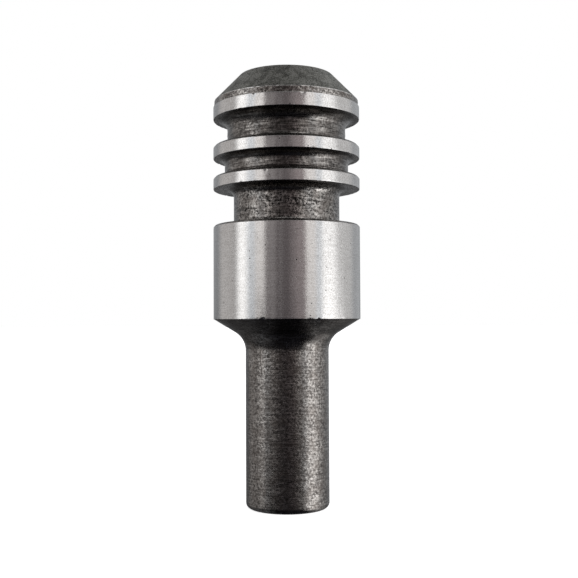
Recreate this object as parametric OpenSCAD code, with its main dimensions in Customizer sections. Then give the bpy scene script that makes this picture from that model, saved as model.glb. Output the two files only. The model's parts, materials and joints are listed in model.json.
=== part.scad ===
// Impact bolt of a small rotary hammer: one turned, hardened steel piece.
// Millimetres, +Z up. The origin is the centre of the stem's flat end face,
// and the bolt stands on that face with its nose at the top.

/* [Guide body] */
// Ground diameter of the guide body and of the three lands
body_d = 16; // [15.5:0.05:17]
// Length of the guide body
body_h = 10.15; // [6:0.05:14]
// Chamfer on the top edge of the guide body and of the lower and middle lands
top_chamfer = 0.2; // [0.05:0.05:0.3]
// Edge break on the other ground edges
edge_break = 0.05; // [0.05:0.05:0.1]

/* [Striking stem] */
// Diameter of the stem that strikes the tool
stem_d = 9.05; // [7:0.05:9.5]
// Length from the stem's end face to the guide body
stem_h = 20.4; // [14:0.05:28]
// Rounding of the stem's end
stem_round = 0.6; // [0.2:0.05:1.5]
// Slope of the shoulder under the guide body, from horizontal
shoulder_angle = 31.5; // [20:0.5:40]
// Fillet between the stem and the shoulder
shoulder_fillet = 2.3; // [1:0.05:2.5]

/* [Neck] */
// Diameter of the neck above the guide body
neck_d = 11.55; // [10:0.05:12.5]
// Width of the neck
neck_h = 3.9; // [2:0.05:6]
// Fillet at the bottom of the neck
neck_low_fillet = 0.5; // [0.1:0.05:0.7]
// Fillet at the top of the neck, under the lower land
neck_high_fillet = 0.85; // [0.1:0.05:1.1]

/* [Lands] */
// Thickness of the lower land
lower_land_h = 1.35; // [0.8:0.05:3]
// Thickness of the middle land
middle_land_h = 1.4; // [0.8:0.05:3]
// Thickness of the upper land, next to the nose
upper_land_h = 1.4; // [0.8:0.05:3]

/* [Ring grooves] */
// Floor diameter of the lower groove
lower_groove_d = 13.5; // [11:0.05:13.5]
// Width of the lower groove
lower_groove_h = 2; // [1.5:0.05:4]
// Fillet at the bottom of the lower groove
lower_groove_low_fillet = 0.35; // [0.1:0.05:0.5]
// Fillet at the top of the lower groove, under the middle land
lower_groove_high_fillet = 0.8; // [0.1:0.05:0.9]
// Floor diameter of the upper groove
upper_groove_d = 12.9; // [11:0.05:12.9]
// Width of the upper groove
upper_groove_h = 2.9; // [2:0.05:5]
// Fillet at the bottom of the upper groove
upper_groove_low_fillet = 0.6; // [0.1:0.05:0.7]
// Fillet at the top of the upper groove, under the upper land
upper_groove_high_fillet = 1.2; // [0.1:0.05:1.2]

/* [Nose] */
// Step from the ground surface in to the unground band above the upper land
band_step = 0.1; // [0.1:0.05:0.5]
// Height of the unground band
band_h = 0.7; // [0.3:0.05:2]
// Diameter at which the flat nose face meets the cone, before rounding
nose_face_d = 10.1; // [6:0.05:12]
// Slope of the cone, from horizontal
cone_angle = 45; // [30:1:60]
// Rounding between the nose face and the cone
nose_round = 0.4; // [0.1:0.05:1]

/* [Hidden] */

$fn = 144;

body_r = body_d / 2;
stem_r = stem_d / 2;
band_r = body_r - band_step;
nose_face_r = nose_face_d / 2;

// Heights of the turned features, stacked up from the stem's end face
body_z = stem_h;
neck_z = body_z + body_h;
lower_land_z = neck_z + neck_h;
lower_groove_z = lower_land_z + lower_land_h;
middle_land_z = lower_groove_z + lower_groove_h;
upper_groove_z = middle_land_z + middle_land_h;
upper_land_z = upper_groove_z + upper_groove_h;
band_z = upper_land_z + upper_land_h;
cone_z = band_z + band_h;
nose_z = cone_z + (band_r - nose_face_r) * tan(cone_angle);

// Centre of the shoulder's fillet, which touches both the stem and the sloping shoulder
fillet_x = stem_r + shoulder_fillet;
fillet_z = body_z - (body_r - fillet_x) * tan(shoulder_angle) - shoulder_fillet / cos(shoulder_angle);

// Centre of the nose's rounding, which touches both the nose face and the cone
nose_round_x = nose_face_r - nose_round * tan(cone_angle / 2);
nose_round_z = nose_z - nose_round;

// Half outline of the bar, turned all over, before its neck and grooves are cut
module blank_profile() {
    difference() {
        union() {
            polygon([
                [0, 0],
                [stem_r - stem_round, 0],
                [stem_r, stem_round],
                [stem_r, fillet_z],
                [fillet_x, fillet_z],
                [fillet_x - shoulder_fillet * sin(shoulder_angle),
                 fillet_z + shoulder_fillet * cos(shoulder_angle)],
                [body_r - edge_break, body_z - edge_break * tan(shoulder_angle)],
                [body_r, body_z + edge_break],
                [body_r, band_z - edge_break],
                [body_r - edge_break, band_z],
                [band_r, band_z],
                [band_r, cone_z],
                [nose_round_x + nose_round * sin(cone_angle),
                 nose_round_z + nose_round * cos(cone_angle)],
                [nose_round_x, nose_z],
                [0, nose_z]
            ]);
            translate([stem_r - stem_round, stem_round]) circle(stem_round);
            translate([nose_round_x, nose_round_z]) circle(nose_round);
        }
        translate([fillet_x, fillet_z]) circle(shoulder_fillet);
    }
}

// Half outline of a groove's cutter: filleted floor corners, and a mouth that takes the
// chamfer off the edge below it and the edge break off the edge above it
module groove_profile(z, width, floor_d, low_fillet, high_fillet) {
    floor_r = floor_d / 2;
    outside_r = body_r + top_chamfer;
    translate([0, z]) {
        polygon([
            [floor_r + low_fillet, 0],
            [body_r - top_chamfer, 0],
            [outside_r, -2 * top_chamfer],
            [outside_r, width + top_chamfer + edge_break],
            [body_r - edge_break, width],
            [floor_r + high_fillet, width],
            [floor_r, width - high_fillet],
            [floor_r, low_fillet]
        ]);
        translate([floor_r + low_fillet, low_fillet]) circle(low_fillet);
        translate([floor_r + high_fillet, width - high_fillet]) circle(high_fillet);
    }
}

module impact_bolt() {
    color([0.56, 0.55, 0.54])
    rotate_extrude()
    difference() {
        blank_profile();
        groove_profile(neck_z, neck_h, neck_d, neck_low_fillet, neck_high_fillet);
        groove_profile(lower_groove_z, lower_groove_h, lower_groove_d,
                       lower_groove_low_fillet, lower_groove_high_fillet);
        groove_profile(upper_groove_z, upper_groove_h, upper_groove_d,
                       upper_groove_low_fillet, upper_groove_high_fillet);
    }
}

impact_bolt();
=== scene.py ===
import json
import math

import bpy
import numpy as np
from mathutils import Matrix, Vector


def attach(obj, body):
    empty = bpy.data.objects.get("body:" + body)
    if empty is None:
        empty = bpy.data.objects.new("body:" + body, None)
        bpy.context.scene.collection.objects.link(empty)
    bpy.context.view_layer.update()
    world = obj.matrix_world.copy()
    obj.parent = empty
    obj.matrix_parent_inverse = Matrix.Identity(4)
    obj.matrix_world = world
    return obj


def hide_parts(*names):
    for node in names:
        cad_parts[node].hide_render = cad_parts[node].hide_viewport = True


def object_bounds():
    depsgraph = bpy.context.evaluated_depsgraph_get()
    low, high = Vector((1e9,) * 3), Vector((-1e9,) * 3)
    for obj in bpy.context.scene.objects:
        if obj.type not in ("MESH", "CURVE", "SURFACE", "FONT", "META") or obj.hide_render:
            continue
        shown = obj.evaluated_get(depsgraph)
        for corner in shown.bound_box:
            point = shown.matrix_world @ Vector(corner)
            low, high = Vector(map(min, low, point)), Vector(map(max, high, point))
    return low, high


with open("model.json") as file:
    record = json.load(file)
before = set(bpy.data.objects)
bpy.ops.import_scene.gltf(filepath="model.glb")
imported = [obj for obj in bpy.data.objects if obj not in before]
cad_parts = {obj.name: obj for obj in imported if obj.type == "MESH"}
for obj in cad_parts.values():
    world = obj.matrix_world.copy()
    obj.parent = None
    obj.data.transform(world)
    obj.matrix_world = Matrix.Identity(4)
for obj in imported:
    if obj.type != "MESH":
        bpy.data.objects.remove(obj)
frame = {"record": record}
cad_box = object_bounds()

MM = 0.001
NODE = "impact_bolt"
SEGMENTS = 400

# ---------------------------------------------------------------- sizes, in mm
INSET = 0.006  # keeps the look inside the facets of the CAD mesh
EDGE = 0.05  # rounding of a ground edge
STEM_ROUND = 0.6
SHOULDER_ANGLE = 31.5  # degrees from horizontal
SHOULDER_FILLET = 2.3
CHAMFER_ROUND = 0.03
CHAMFER_DROP = 0.215  # from the upper end of a wall down to its chamfer
CHAMFER_IN = 0.2062  # from a wall in to where the chamfer has run out
NECK_FILLETS = (0.5, 0.85)  # each pair gives the fillet at the bottom and the one at the top
LOWER_FILLETS = (0.35, 0.8)
UPPER_FILLETS = (0.6, 1.2)
UPPER_LAND = 1.4  # height of the land next to the nose
BAND_STEP = 0.13
BAND_WALL = 0.61
BAND_ROUND = 0.1
NOSE_R = 5.05
NOSE_ROUND = 0.4
CONE_ANGLE = 45  # degrees

# What the cutting tools left: places given as a radius from the groove's floor and a height over its foot
CORNER_MARK = [(-0.08, 0.27), (-0.005, 0.38), (0.0, 0.45)]
RING_MARK = [(0.0, 1.1), (0.025, 1.14)]

# How far from a ground edge the wear on it has died out
FADE_BODY = (0.2, 0.41)  # at the guide body's lower and upper edges
FADE_LAND = (0.23, 0.4)
FADE_BAND = 0.22


def mount_wall(name):
    """Radius of the mount's pin or groove floor, and the heights between which it runs."""
    mount = next(m for m in frame["record"]["mounts"] if m["name"] == name)
    middle, half = mount["pos_m"][2] / MM, mount["dims"]["length_mm"] / 2
    return mount["dims"]["r_mm"], round(middle - half, 3), round(middle + half, 3)


guide_r, guide_low, _ = mount_wall("guide_body")
stem_r, _, _ = mount_wall("striking_stem")
neck_r, neck_low, neck_high = mount_wall("neck")
lower_r, lower_low, lower_high = mount_wall("lower_ring_groove")
upper_r, upper_low, upper_high = mount_wall("upper_ring_groove")
nose_z = round(cad_box[1].z / MM, 3)

body_r = guide_r - INSET
body_low = guide_low - EDGE
band_r = guide_r - BAND_STEP
band_z = upper_high + UPPER_LAND

# ---------------------------------------------------------------- outline
# Zones of the surface, in the order of the mesh's materials
SKIN, GROUND, CONE, BAND, NECK, GROOVE = range(6)


class Outline:
    """Half outline of the bolt: (radius, height) points, each with the zone of the strip after it."""

    def __init__(self):
        self.points = [(0, 0)]
        self.zones = []
        self.edges = []

    def last(self):
        return len(self.points) - 1

    def line(self, r, z, steps, zone):
        r0, z0 = self.points[-1]
        for step in range(1, steps + 1):
            share = step / steps
            self.points.append((r0 + (r - r0) * share, z0 + (z - z0) * share))
            self.zones.append(zone)

    def arc(self, centre_r, centre_z, radius, start, end, steps, zone):
        for step in range(1, steps + 1):
            angle = math.radians(start + (end - start) * step / steps)
            self.points.append((centre_r + radius * math.cos(angle), centre_z + radius * math.sin(angle)))
            self.zones.append(zone)

    def worn_arc(self, centre_z, radius, start, end, steps, up):
        """A ground edge, which wears upward (1) or downward (-1)."""
        first = self.last()
        self.arc(body_r - radius, centre_z, radius, start, end, steps, GROUND)
        self.edges.append((first, self.last(), up))

    def edge_under(self, z, start=-90):
        """Round the lower edge of a ground wall, from the face below it."""
        self.worn_arc(z + EDGE, EDGE, start, 0, 4, 1)

    def chamfer_over(self, z):
        """From a ground wall, over the dark chamfer on its upper edge, to the face above it."""
        diagonal = CHAMFER_ROUND * math.sqrt(0.5)
        self.line(body_r, z - CHAMFER_DROP, 1, GROUND)
        self.worn_arc(z - CHAMFER_DROP, CHAMFER_ROUND, 0, 45, 2, -1)
        self.line(body_r - CHAMFER_IN + diagonal, z - CHAMFER_ROUND + diagonal, 2, SKIN)
        self.arc(body_r - CHAMFER_IN, z - CHAMFER_ROUND, CHAMFER_ROUND, 45, 90, 2, SKIN)

    def land(self, low, high):
        """A ground land between two grooves."""
        self.edge_under(low)
        self.line(body_r, low + FADE_LAND[0], 1, GROUND)
        self.line(body_r, high - FADE_LAND[1], 2, GROUND)
        self.chamfer_over(high)

    def groove_foot(self, r, z, radius, steps, zone):
        """The fillet from a groove's lower wall, at height z, to its floor at radius r."""
        self.arc(r + radius, z + radius, radius, 270, 180, steps, zone)

    def groove_head(self, r, z, radius, steps, zone, wall_steps):
        """The fillet from a groove's floor at radius r to its upper wall, at height z, and the wall."""
        self.arc(r + radius, z - radius, radius, 180, 90, steps, zone)
        self.line(body_r - EDGE, z, wall_steps, SKIN)


def draw_stem(outline):
    outline.line(stem_r - STEM_ROUND, 0, 6, SKIN)
    outline.arc(stem_r - STEM_ROUND, STEM_ROUND, STEM_ROUND, -90, 0, 9, SKIN)
    slope = math.radians(SHOULDER_ANGLE)
    fillet_r = stem_r + SHOULDER_FILLET
    fillet_z = body_low - (guide_r - fillet_r) * math.tan(slope) - SHOULDER_FILLET / math.cos(slope)
    outline.line(stem_r, fillet_z, 16, SKIN)
    outline.arc(fillet_r, fillet_z, SHOULDER_FILLET, 180, 90 + SHOULDER_ANGLE, 14, SKIN)
    outline.line(body_r - EDGE * (1 + math.sin(slope)), body_low - EDGE * math.cos(slope), 8, SKIN)


def draw_guide_body(outline):
    outline.edge_under(body_low - EDGE, SHOULDER_ANGLE - 90)
    outline.line(body_r, body_low + FADE_BODY[0], 1, GROUND)
    outline.line(body_r, neck_low - FADE_BODY[1], 6, GROUND)
    outline.chamfer_over(neck_low)


def draw_neck(outline):
    foot, head = NECK_FILLETS
    outline.line(neck_r + foot, neck_low, 3, SKIN)
    outline.groove_foot(neck_r, neck_low, foot, 6, NECK)
    outline.line(neck_r, neck_high - head, 9, NECK)
    outline.groove_head(neck_r, neck_high, head, 8, NECK, 3)


def draw_lower_groove(outline):
    """The groove whose foot carries the small V that the cutter's corner left."""
    foot, head = LOWER_FILLETS
    outline.line(lower_r + foot, lower_low, 2, GROOVE)
    outline.arc(lower_r + foot, lower_low + foot, foot, 270, 200, 4, GROOVE)
    for (out, up), steps in zip(CORNER_MARK, (2, 1, 1)):
        outline.line(lower_r + out, lower_low + up, steps, GROOVE)
    outline.line(lower_r, lower_high - head, 4, GROOVE)
    outline.groove_head(lower_r, lower_high, head, 8, GROOVE, 2)


def draw_upper_groove(outline):
    """The groove whose floor carries a fine ridge that the cutter left."""
    foot, head = UPPER_FILLETS
    outline.line(upper_r + foot, upper_low, 2, SKIN)
    outline.groove_foot(upper_r, upper_low, foot, 6, GROOVE)
    for (out, up), steps in zip(RING_MARK, (3, 1)):
        outline.line(upper_r + out, upper_low + up, steps, GROOVE)
    outline.line(upper_r, upper_high - head, 4, GROOVE)
    outline.groove_head(upper_r, upper_high, head, 10, GROOVE, 2)


def draw_upper_land(outline):
    outline.edge_under(upper_high)
    outline.line(body_r, upper_high + FADE_LAND[0], 1, GROUND)
    outline.line(body_r, band_z - FADE_BAND, 3, GROUND)
    outline.line(body_r, band_z - EDGE, 1, GROUND)
    outline.worn_arc(band_z - EDGE, EDGE, 0, 90, 3, -1)


def draw_band(outline):
    """The unground band, with its bright upper corner."""
    outline.line(band_r, band_z, 1, BAND)
    outline.line(band_r, band_z + BAND_WALL, 7, BAND)
    outline.arc(band_r - BAND_ROUND, band_z + BAND_WALL, BAND_ROUND, 0, CONE_ANGLE, 3, GROUND)


def draw_nose(outline):
    cone = math.radians(CONE_ANGLE)
    round_r = NOSE_R - NOSE_ROUND * math.tan(cone / 2)
    round_z = nose_z - NOSE_ROUND
    outline.line(round_r + NOSE_ROUND * math.sin(cone), round_z + NOSE_ROUND * math.cos(cone), 12, CONE)
    outline.arc(round_r, round_z, NOSE_ROUND, 90 - CONE_ANGLE, 90, 5, CONE)
    outline.line(0, nose_z, 6, CONE)


outline = Outline()
draw_stem(outline)
draw_guide_body(outline)
draw_neck(outline)
outline.land(neck_high, lower_low)
draw_lower_groove(outline)
outline.land(lower_high, upper_low)
draw_upper_groove(outline)
draw_upper_land(outline)
band_first = len(outline.points)
draw_band(outline)
band_last = outline.last()
draw_nose(outline)
profile = np.array(outline.points)

# ---------------------------------------------------------------- wear
NICKS = 9  # on each ground edge
NICK_WIDTH = (0.08, 0.22)
NICK_DEPTH = (0.025, 0.07)
UNEVEN = 0.012
AXIAL_WEAR = 0.8  # wear along the axis, as a share of the wear inward
LUMPS = 0.035
rng = np.random.default_rng(7)


def smooth(values, times, axis=-1):
    for _ in range(times):
        values = (np.roll(values, 1, axis) + 2 * values + np.roll(values, -1, axis)) / 4
    return values


def edge_wear():
    """How far an edge is worn back at each segment: a fine unevenness and a few nicks."""
    segment = body_r * 2 * math.pi / SEGMENTS
    wear = UNEVEN * np.abs(smooth(rng.normal(size=SEGMENTS), 1))
    for _ in range(NICKS):
        at = rng.integers(SEGMENTS)
        width = rng.uniform(*NICK_WIDTH)
        depth = rng.uniform(*NICK_DEPTH)
        gap = (np.arange(SEGMENTS) - at + SEGMENTS / 2) % SEGMENTS - SEGMENTS / 2
        wear = np.maximum(wear, depth * np.exp(-((gap * segment / width) ** 2)))
    return wear


# One ring of vertices for each point of the outline, apart from its two ends on the axis
ring_r = np.repeat(profile[1:-1, :1], SEGMENTS, 1)
ring_z = np.repeat(profile[1:-1, 1:], SEGMENTS, 1)
rings = len(ring_r)

for first, last, up in outline.edges:
    wear = edge_wear()
    ring_r[first - 1:last] -= wear
    ring_z[first - 1:last] += AXIAL_WEAR * up * wear

lumps = smooth(smooth(rng.normal(size=(band_last - band_first, SEGMENTS)), 1), 1, 0)
ring_r[band_first - 1:band_last - 1] += LUMPS * lumps
assert ring_r.max() <= body_r

# ---------------------------------------------------------------- turned mesh
around = np.linspace(0, 2 * math.pi, SEGMENTS, endpoint=False)
points = np.stack([ring_r * np.sin(around), -ring_r * np.cos(around), ring_z], 2).reshape(-1, 3)
points = np.concatenate([points, [[0, 0, 0], [0, 0, nose_z]]])
bottom = rings * SEGMENTS
top = bottom + 1

here = np.arange(SEGMENTS)
beside = (here + 1) % SEGMENTS
ring = np.arange(rings - 1)[:, None] * SEGMENTS
above = ring + SEGMENTS
quads = np.stack([ring + here, ring + beside, above + beside, above + here], 2).reshape(-1, 4)
last_ring = bottom - SEGMENTS
bottom_cap = np.stack([np.full(SEGMENTS, bottom), beside, here], 1)
top_cap = np.stack([np.full(SEGMENTS, top), last_ring + here, last_ring + beside], 1)
faces = quads.tolist() + bottom_cap.tolist() + top_cap.tolist()

strip_zones = np.repeat(outline.zones[1:-1], SEGMENTS)
cap_zones = np.repeat([outline.zones[0], outline.zones[-1]], SEGMENTS)
face_zones = np.concatenate([strip_zones, cap_zones])

mesh = bpy.data.meshes.new(NODE + "_look")
mesh.from_pydata((points * MM).tolist(), [], faces)
mesh.polygons.foreach_set("material_index", face_zones.astype(np.int32))
mesh.polygons.foreach_set("use_smooth", np.ones(len(faces), bool))


def area_normals():
    """Vertex normals in which faces count by their area, so that flat walls stay flat up to their edges."""
    total = np.zeros_like(points)
    a, b, c, d = (points[quads[:, corner]] for corner in range(4))
    face_normals = np.cross(c - a, d - b)
    for corner in range(4):
        np.add.at(total, quads[:, corner], face_normals)
    total[bottom] = (0, 0, -1)
    total[top] = (0, 0, 1)
    return total / np.linalg.norm(total, axis=1, keepdims=True)


mesh.update()
mesh.normals_split_custom_set_from_vertices(area_normals().tolist())

UV_MARGIN = 0.004


def lathe_unwrap():
    """Texture places of every face corner: one strip per ring, with its height taken along the outline."""
    along = np.concatenate([[0], np.cumsum(np.hypot(*np.diff(profile, axis=0).T))])
    v = UV_MARGIN + (1 - 2 * UV_MARGIN) * along / along[-1]
    left = here / SEGMENTS
    right = (here + 1) / SEGMENTS
    low, high = np.repeat(v[1:-2], SEGMENTS), np.repeat(v[2:-1], SEGMENTS)
    a, b = np.tile(left, rings - 1), np.tile(right, rings - 1)
    strips = np.stack([a, low, b, low, b, high, a, high], 1)

    def cap(pole, rim, first, second):
        pole, rim = np.full(SEGMENTS, pole), np.full(SEGMENTS, rim)
        return np.stack([(left + right) / 2, pole, first, rim, second, rim], 1)

    caps = [cap(v[0], v[1], right, left), cap(v[-1], v[-2], left, right)]
    return np.concatenate([part.reshape(-1) for part in (strips, *caps)])


# The texture layer to bake into, under the name OFBake
uv = mesh.uv_layers.new(name="OFBake")
uv.data.foreach_set("uv", lathe_unwrap().astype(np.float32))

piece = bpy.data.objects.new(NODE + "_turned", mesh)
bpy.context.scene.collection.objects.link(piece)


# ---------------------------------------------------------------- materials
class Tree:
    """A short way to write node trees."""

    def __init__(self, owner):
        owner.use_nodes = True
        self.tree = owner.node_tree
        self.tree.nodes.clear()

    def link(self, output, target):
        self.tree.links.new(output, target)

    def node(self, kind, inputs=(), **props):
        made = self.tree.nodes.new("ShaderNode" + kind)
        for name, value in props.items():
            setattr(made, name, value)
        for key, value in dict(inputs).items():
            if isinstance(value, bpy.types.NodeSocket):
                self.link(value, made.inputs[key])
            else:
                made.inputs[key].default_value = value
        return made

    def math(self, operation, a, b=0.0, c=0.0):
        return self.node("Math", {0: a, 1: b, 2: c}, operation=operation).outputs[0]

    def add(self, a, b):
        return self.math("ADD", a, b)

    def times(self, a, b):
        return self.math("MULTIPLY", a, b)

    def blend(self, a, b, share):
        """The sum of a and b in which b has the given share."""
        return self.add(self.times(a, 1 - share), self.times(b, share))

    def ramp(self, value, low, high, to_low=0.0, to_high=1.0):
        inputs = {"Value": value, "From Min": low, "From Max": high, "To Min": to_low, "To Max": to_high}
        return self.node("MapRange", inputs, interpolation_type="SMOOTHSTEP").outputs[0]

    def mix(self, factor, a, b):
        """Between two colours, each of them (red, green, blue) or a socket."""
        a, b = (c if isinstance(c, bpy.types.NodeSocket) else (*c, 1) for c in (a, b))
        return self.node("Mix", {0: factor, 6: a, 7: b}, data_type="RGBA").outputs[2]

    def noise(self, vector, scale, detail=2.0, rough=0.5):
        inputs = {"Vector": vector, "Scale": scale, "Detail": detail, "Roughness": rough}
        return self.node("TexNoise", inputs).outputs[0]

    def scaled(self, vector, factor):
        return self.node("VectorMath", {0: vector, 3: factor}, operation="SCALE").outputs[0]


class Metal(Tree):
    """A metal surface whose textures are laid out in millimetres in the part's frame."""

    def __init__(self, name):
        self.material = bpy.data.materials.new(name)
        super().__init__(self.material)
        self.shader = self.node("BsdfPrincipled", {"Metallic": 1.0})
        self.link(self.shader.outputs[0], self.node("OutputMaterial").inputs[0])
        self.place = self.scaled(self.node("TexCoord").outputs["Object"], 1 / MM)

    def turned_lines(self, scale, rough):
        """Noise drawn out round the part, as turning and grinding leave it."""
        drawn = self.node("VectorMath", {0: self.place, 1: (0.35, 0.35, 5.0)}, operation="MULTIPLY")
        return self.noise(drawn.outputs[0], scale, 3.0, rough)

    def axial_gloss(self, amount):
        """Turning and grinding lines run round the part, so its gloss spreads along the axis."""
        self.shader.inputs["Anisotropic"].default_value = amount
        self.shader.inputs["Anisotropic Rotation"].default_value = 0.25
        tangent = self.node("Tangent", direction_type="RADIAL", axis="Z")
        self.link(tangent.outputs[0], self.shader.inputs["Tangent"])

    def finish(self, base, rough, height, depth):
        """Wires up the shader, with the bump's depth in mm."""
        bump = self.node("Bump", {"Height": height, "Strength": 1.0, "Distance": depth * MM})
        self.link(base, self.shader.inputs["Base Color"])
        self.link(rough, self.shader.inputs["Roughness"])
        self.link(bump.outputs[0], self.shader.inputs["Normal"])
        return self.material


def ground_steel():
    """Bright ground steel with a fine grain, pinholes and a few short curved scratches, whose shade is
    painted in near black.
    """
    metal = Metal("ground_steel")
    # The third colour is painted shade: the near black inside the pinholes and scratches
    dark, light, painted_mark_shade = (0.42, 0.41, 0.40), (0.69, 0.685, 0.68), (0.045, 0.035, 0.03)
    grain = metal.noise(metal.place, 7.0, 4.0, 0.7)
    cloud = metal.noise(metal.place, 0.45)
    tone = metal.blend(grain, metal.turned_lines(1.6, 0.6), 0.2)
    cells = metal.node("TexVoronoi", {"Vector": metal.place, "Scale": 1.0})
    pinholes = metal.ramp(cells.outputs["Distance"], 0.045, 0.08, 0.95, 0.0)
    contour = metal.math("ABSOLUTE", metal.math("SUBTRACT", metal.noise(metal.place, 0.9, 1.0), 0.5))
    stretch = metal.ramp(metal.noise(metal.place, 1.7, 1.0), 0.60, 0.64)
    scratches = metal.times(metal.ramp(contour, 0.0015, 0.004, 0.45, 0.0), stretch)
    marks = metal.math("MAXIMUM", pinholes, scratches)
    # The pinholes and scratches are coloured near black: painted shade in these small recesses
    base = metal.mix(marks, metal.mix(metal.ramp(tone, 0.34, 0.66), dark, light), painted_mark_shade)
    rough = metal.add(metal.ramp(grain, 0.3, 0.7, 0.12, 0.20), metal.ramp(cloud, 0.3, 0.7, -0.02, 0.02))
    rough = metal.add(rough, metal.times(marks, 0.3))
    height = metal.math("SUBTRACT", tone, metal.times(marks, 0.8))
    metal.axial_gloss(0.85)
    return metal.finish(base, rough, height, 0.007)


def hardened_skin(name, gain, contrast, line_share=0.3, fleck_scale=3.8):
    """The dark flecked skin that hardening leaves, with its lightness, contrast and share of turned lines."""
    metal = Metal(name)
    low, high = (0.24 - contrast) * gain, (0.24 + contrast) * gain
    dark, light = (low, 0.9 * low, 0.85 * low), (high, 0.955 * high, 0.91 * high)
    stain = (0.13 * gain, 0.115 * gain, 0.105 * gain)
    fleck = metal.noise(metal.place, fleck_scale, 4.0, 0.75)
    cloud = metal.noise(metal.place, 0.9, 3.0)
    tone = metal.blend(fleck, metal.turned_lines(1.3, 0.65), line_share)
    base = metal.mix(metal.ramp(tone, 0.40, 0.66), dark, light)
    base = metal.mix(metal.ramp(cloud, 0.42, 0.66, 0.0, 0.5), base, stain)
    rough = metal.ramp(fleck, 0.35, 0.65, 0.30, 0.19)
    height = metal.add(tone, metal.times(cloud, 0.7))
    metal.axial_gloss(0.6)
    return metal.finish(base, rough, height, 0.028)


def cone_skin():
    """The cone's skin, which is duller and a little greener than the rest."""
    metal = Metal("cone_skin")
    dark, light = (0.09, 0.09, 0.081), (0.34, 0.34, 0.315)
    fleck = metal.noise(metal.place, 7.0, 4.0, 0.65)
    tone = metal.blend(fleck, metal.noise(metal.place, 1.2, 3.0), 0.3)
    base = metal.mix(metal.ramp(tone, 0.40, 0.60), dark, light)
    rough = metal.ramp(fleck, 0.3, 0.7, 0.60, 0.48)
    return metal.finish(base, rough, fleck, 0.02)


# In the order of the zones
mesh.materials.append(hardened_skin("hardened_skin", 1.08, 0.18))
mesh.materials.append(ground_steel())
mesh.materials.append(cone_skin())
mesh.materials.append(hardened_skin("band_skin", 1.25, 0.21, fleck_scale=5.0))
mesh.materials.append(hardened_skin("neck_skin", 1.05, 0.235))
mesh.materials.append(hardened_skin("groove_skin", 0.83, 0.20, line_share=0.5))

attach(piece, "root")
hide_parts(NODE)

# ---------------------------------------------------------------- floor
FLOOR_HALF = 3.0  # metres


def pale_floor():
    """A plain floor. Reflections and bounced light miss it, so the undersides of the lands stay dark."""
    half = FLOOR_HALF
    corners = [(-half, -half, 0), (half, -half, 0), (half, half, 0), (-half, half, 0)]
    floor_mesh = bpy.data.meshes.new("floor")
    floor_mesh.from_pydata(corners, [], [(0, 1, 2, 3)])
    material = bpy.data.materials.new("pale_floor")
    tree = Tree(material)
    shader = tree.node("BsdfPrincipled", {
        "Base Color": (0.9, 0.9, 0.9, 1),
        "Roughness": 0.9,
        "Specular IOR Level": 0.0,
        "Emission Color": (1, 1, 1, 1),
        "Emission Strength": 0.8,
    })
    tree.link(shader.outputs[0], tree.node("OutputMaterial").inputs[0])
    floor_mesh.materials.append(material)
    made = bpy.data.objects.new("floor", floor_mesh)
    bpy.context.scene.collection.objects.link(made)
    made.visible_glossy = False
    made.visible_diffuse = False
    return made


pale_floor()

# ---------------------------------------------------------------- light
# Tints of the studio's panels
WARM = (1.01, 0.975, 0.955)
BROWN = (1.13, 0.975, 0.97)
GREY = (1.07, 0.985, 0.975)
PLAIN = (1.0, 0.995, 0.99)
COOL = (0.965, 1.0, 1.04)

# Each panel, in degrees: where its azimuth begins and how soft that edge is, where it ends and how soft
# that edge is; its lowest and highest elevation and how soft both edges are; then its strength and tint.
# Azimuth 0 is straight towards the camera, and azimuths grow towards the camera's right.
PANELS = [
    (-200, 6, -128, 10, -5, 60, 15, 0.30, COOL),
    (-128, 11, -87, 6, -14, 60, 14, 0.59, WARM),
    (-83.5, 8, -64, 5, -10.5, 70, 7, 1.70, PLAIN),
    (-64, 2.5, -50, 2.5, -3, 30, 6, 1.06, COOL),
    (-50, 2.5, -34, 2.5, -1, 26, 5, 1.20, WARM),
    (-34, 1.5, -16.3, 1, -3, 20, 7, 0.31, GREY),
    (-16.3, 1, 5.5, 1, -3, 20, 7, 0.135, BROWN),
    (-10.2, 0.4, -8.8, 0.4, -3, 20, 7, 0.30, PLAIN),
    (5.5, 1, 14, 1, -3, 20, 7, 0.25, BROWN),
    (14, 1.5, 29.5, 1.5, -3, 20, 7, 0.36, BROWN),
    (29.5, 2, 46, 2, -4, 70, 7, 1.19, WARM),
    (46, 2, 56, 2, -14, 70, 8, 1.00, COOL),
    (56, 3, 82, 9, -30, 70, 8, 1.44, PLAIN),
    (58, 6, 98, 6, -40, -2, 6, 1.22, PLAIN),
    (82, 9, 121, 12, -30, 60, 14, 0.73, PLAIN),
    (121, 12, 160, 10, -14, 60, 14, 0.44, COOL),
    (98, 8, 150, 12, -54, -26, 8, 0.50, PLAIN),
    (-40, 8, 40, 8, 34, 60, 6, 0.50, PLAIN),
    (115, 12, 165, 10, 42, 80, 10, 0.20, PLAIN),
    (-140, 12, -56, 10, -62, -30, 8, 0.14, COOL),
]


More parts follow.
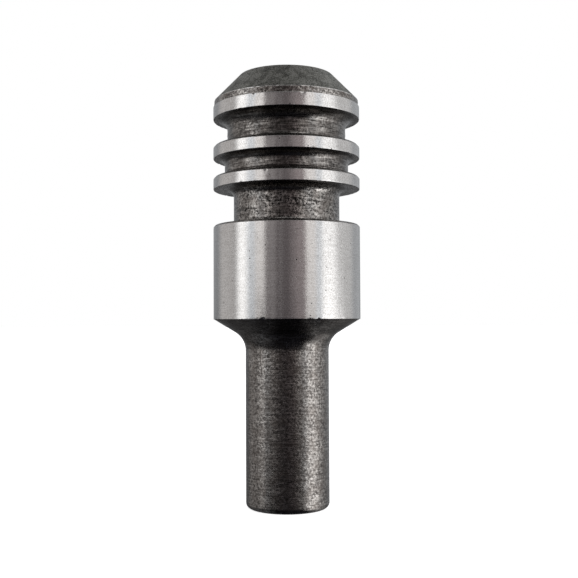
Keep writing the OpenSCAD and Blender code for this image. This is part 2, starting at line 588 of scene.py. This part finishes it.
def studio():
    """Soft panels in a dark room, for shading and reflections only: camera rays see plain white."""
    world = bpy.data.worlds.new("studio")
    tree = Tree(world)

    def degrees(radians):
        return tree.times(radians, 180 / math.pi)

    def window(value, low, low_soft, high, high_soft):
        rise = tree.ramp(value, low - low_soft, low + low_soft)
        fall = tree.ramp(value, high - high_soft, high + high_soft, 1.0, 0.0)
        return tree.times(rise, fall)

    x, y, z = tree.node("SeparateXYZ", {0: tree.node("TexCoord").outputs["Generated"]}).outputs
    azimuth = degrees(tree.math("ARCTAN2", x, tree.times(y, -1.0)))
    wrapped = tree.math("WRAP", azimuth, 160.0, -200.0)
    elevation = degrees(tree.math("ARCSINE", z))

    front = tree.mix(tree.ramp(elevation, -20, 40), (0.019, 0.019, 0.024), (0.056, 0.051, 0.053))
    behind = tree.mix(tree.ramp(elevation, -65, -35), (0.02, 0.021, 0.028), (0.08, 0.079, 0.08))
    light = tree.mix(tree.ramp(tree.math("ABSOLUTE", azimuth), 70, 150), front, behind)
    for az_low, az_low_soft, az_high, az_high_soft, el_low, el_high, el_soft, power, tint in PANELS:
        across = window(wrapped if az_low < -180 else azimuth, az_low, az_low_soft, az_high, az_high_soft)
        shape = tree.times(across, window(elevation, el_low, el_soft, el_high, el_soft))
        panel = tree.scaled(tuple(power * channel for channel in tint), shape)
        light = tree.node("VectorMath", {0: light, 1: panel}, operation="ADD").outputs[0]

    seen = tree.node("LightPath").outputs["Is Camera Ray"]
    background = tree.node("Background", {"Color": tree.mix(seen, light, (1.0, 1.0, 1.0))})
    tree.link(background.outputs[0], tree.node("OutputWorld").inputs[0])
    return world


bpy.context.scene.world = studio()

# ---------------------------------------------------------------- camera
CAMERA_AT = (0.0, -102.0, 20.16)  # mm
LENS, SENSOR = 58.142, 36.0  # mm
CLIP_NEAR, CLIP_FAR = 0.005, 20  # metres
PITCH, ROLL, YAW = 0.0343, -0.0043, -0.0022  # radians: up, anticlockwise and to the left

camera = bpy.data.cameras.new("camera")
camera.lens, camera.sensor_width = LENS, SENSOR
camera.clip_start, camera.clip_end = CLIP_NEAR, CLIP_FAR
eye = bpy.data.objects.new("camera", camera)
bpy.context.scene.collection.objects.link(eye)
level = Matrix.Rotation(YAW, 4, "Z") @ Matrix.Rotation(math.pi / 2 + PITCH, 4, "X")
turn = level @ Matrix.Rotation(ROLL, 4, "Z")
eye.matrix_world = Matrix.Translation(Vector(CAMERA_AT) * MM) @ turn
bpy.context.scene.camera = eye
bpy.context.scene.view_settings.view_transform = "Standard"
